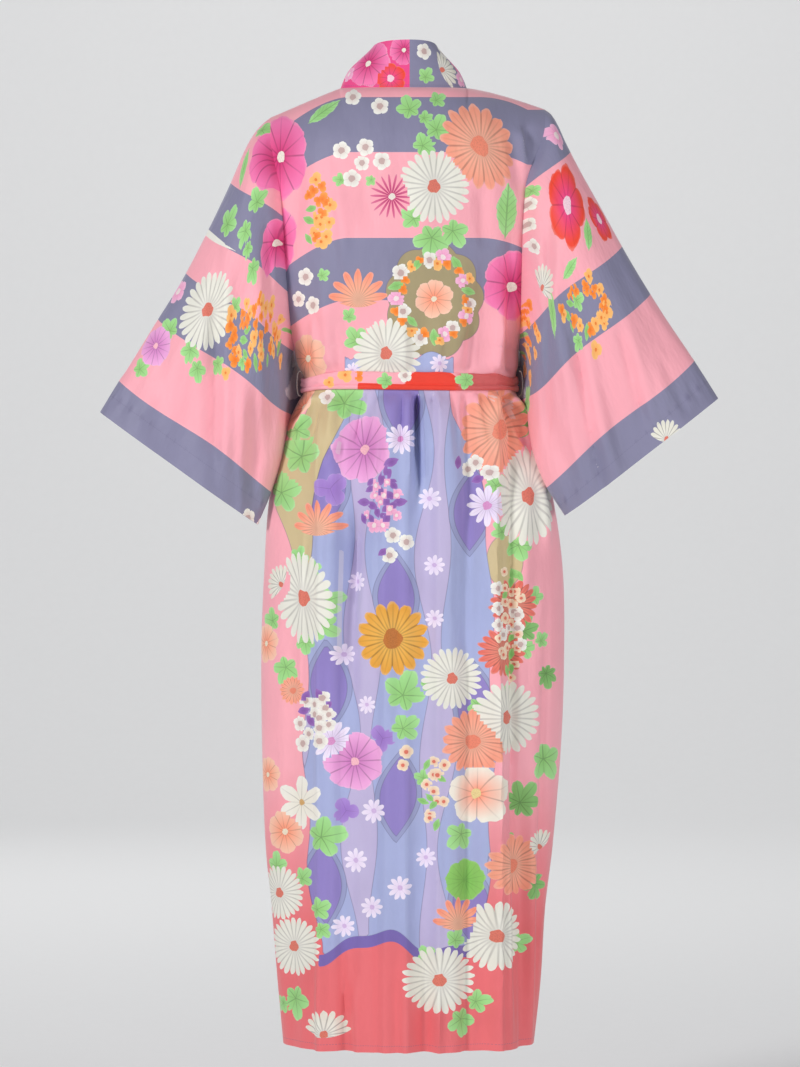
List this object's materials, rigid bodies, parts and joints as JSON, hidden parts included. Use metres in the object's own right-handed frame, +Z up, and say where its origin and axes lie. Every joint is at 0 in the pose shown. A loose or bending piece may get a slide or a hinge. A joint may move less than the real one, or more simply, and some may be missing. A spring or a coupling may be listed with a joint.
{
  "type": "kimono robe",
  "caption": "Long wrap kimono robe with wide bell sleeves, standing neckband and tied fabric belt, filled out as worn, open at neck, cuffs and hem.",
  "frame": {"origin": "middle of the neck at shoulder height, where the wearer holds the robe up", "axes": "+Z up, +Y out of the back of the robe, +X to the wearer's left"},
  "size_m": [0.835, 0.2407, 1.3705],
  "materials": {
    "robe_cloth": "light satin-faced viscose, printed with stripes, panels and flowers",
    "sleeve_cloth": "light satin-faced viscose, pink and grey-blue stripes with flowers",
    "neckband_cloth": "the same cloth, two layers with a light interfacing",
    "belt_cloth": "the same cloth, folded in two",
    "loop_thread": "sewing thread chain"
  },
  "bodies": {
    "root": {"back": "robe_cloth", "front_left": "robe_cloth", "front_right": "robe_cloth", "sleeve_left": "sleeve_cloth", "sleeve_right": "sleeve_cloth", "collar_left": "neckband_cloth", "collar_right": "neckband_cloth", "belt": "belt_cloth", "belt_knot": "belt_cloth", "belt_tail_left": "belt_cloth", "belt_tail_right": "belt_cloth", "belt_loop_left": "loop_thread", "belt_loop_right": "loop_thread"}
  },
  "joints": []
}
